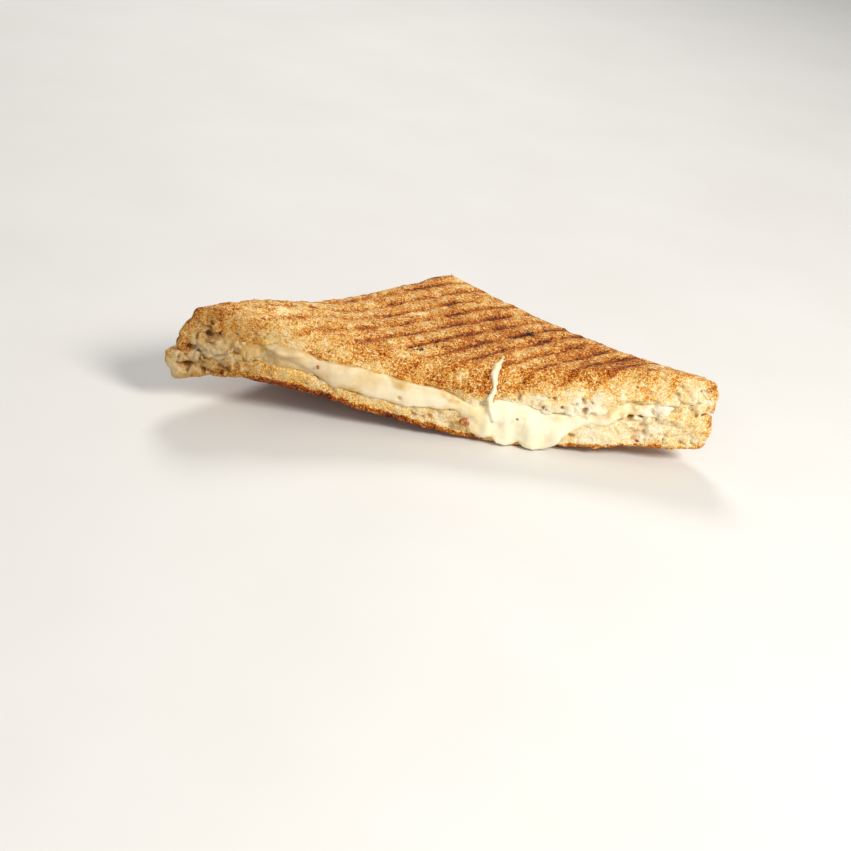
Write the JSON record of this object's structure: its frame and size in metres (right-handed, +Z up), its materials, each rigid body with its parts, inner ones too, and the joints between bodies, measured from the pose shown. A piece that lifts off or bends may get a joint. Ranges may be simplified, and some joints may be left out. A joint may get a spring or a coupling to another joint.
{
  "type": "grilled cheese sandwich half",
  "caption": "Diagonal half of a pressed, toasted cheese sandwich: ribbed golden bread over and under a melted cheese layer that bulges and drips at the cut.",
  "frame": {"origin": "middle of the bounding box at the table's height, under the sandwich half", "axes": "+X along the diagonal cut, -Y the way the cut face looks, +Y towards the right-angled corner, +Z up"},
  "size_m": [0.1616, 0.0836, 0.032],
  "materials": {
    "bread_bottom": "dry toasted bread with an open, pale crumb at the cut",
    "cheese": "melted cheese, soft satin gloss, slightly translucent",
    "bread_top": "dry toasted bread with dark brown grill marks"
  },
  "bodies": {
    "root": {"bread_bottom": "bread_bottom", "cheese": "cheese", "bread_top": "bread_top"}
  },
  "joints": []
}
